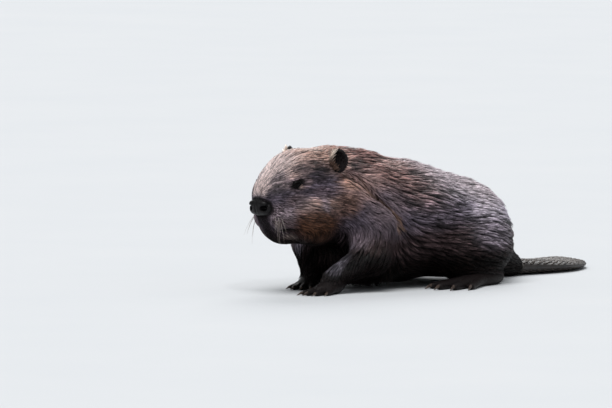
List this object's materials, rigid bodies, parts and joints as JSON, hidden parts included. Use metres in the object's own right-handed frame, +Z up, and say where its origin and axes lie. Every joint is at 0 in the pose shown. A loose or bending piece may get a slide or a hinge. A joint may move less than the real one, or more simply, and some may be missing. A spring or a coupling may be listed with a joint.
{
  "type": "north american beaver",
  "caption": "Still life-size beaver with a wet brown coat, standing on its forelegs with low hindquarters and a flat scaly tail laid behind it.",
  "frame": {"origin": "on the floor, under the centre of the animal's box", "axes": "+Z up; the nose points to -Y and the tail to +Y; +X is the animal's own left side"},
  "size_m": [0.345, 0.8266, 0.2351],
  "materials": {
    "body_coat": "wet fur lying flat in clumps, damp sheen",
    "face_coat": "short wet fur, damp sheen",
    "foot_skin": "scaly bare skin with sparse short hair",
    "ear_skin": "thin dark skin with short hair",
    "nose_skin": "damp pebbled skin",
    "tail_scales": "flat leathery scales, damp",
    "claw_horn": "smooth horn",
    "eye_gloss": "wet and glossy"
  },
  "bodies": {
    "root": {"barrel": "body_coat", "chest": "body_coat", "ear_left": "ear_skin", "ear_right": "ear_skin", "eye_left": "eye_gloss", "eye_right": "eye_gloss", "fore_claw_left_1": "claw_horn", "fore_claw_left_2": "claw_horn", "fore_claw_left_3": "claw_horn", "fore_claw_left_4": "claw_horn", "fore_claw_left_5": "claw_horn", "fore_claw_right_1": "claw_horn", "fore_claw_right_2": "claw_horn", "fore_claw_right_3": "claw_horn", "fore_claw_right_4": "claw_horn", "fore_claw_right_5": "claw_horn", "forefoot_left": "foot_skin", "forefoot_right": "foot_skin", "foreleg_left": "body_coat", "foreleg_right": "body_coat", "head": "face_coat", "hind_claw_left_1": "claw_horn", "hind_claw_left_2": "claw_horn", "hind_claw_left_3": "claw_horn", "hind_claw_left_4": "claw_horn", "hind_claw_left_5": "claw_horn", "hind_claw_right_1": "claw_horn", "hind_claw_right_2": "claw_horn", "hind_claw_right_3": "claw_horn", "hind_claw_right_4": "claw_horn", "hind_claw_right_5": "claw_horn", "hindfoot_left": "foot_skin", "hindfoot_right": "foot_skin", "hindleg_left": "body_coat", "hindleg_right": "body_coat", "neck": "body_coat", "nose": "nose_skin", "rump": "body_coat", "tail": "tail_scales", "tail_root": "body_coat"}
  },
  "joints": []
}
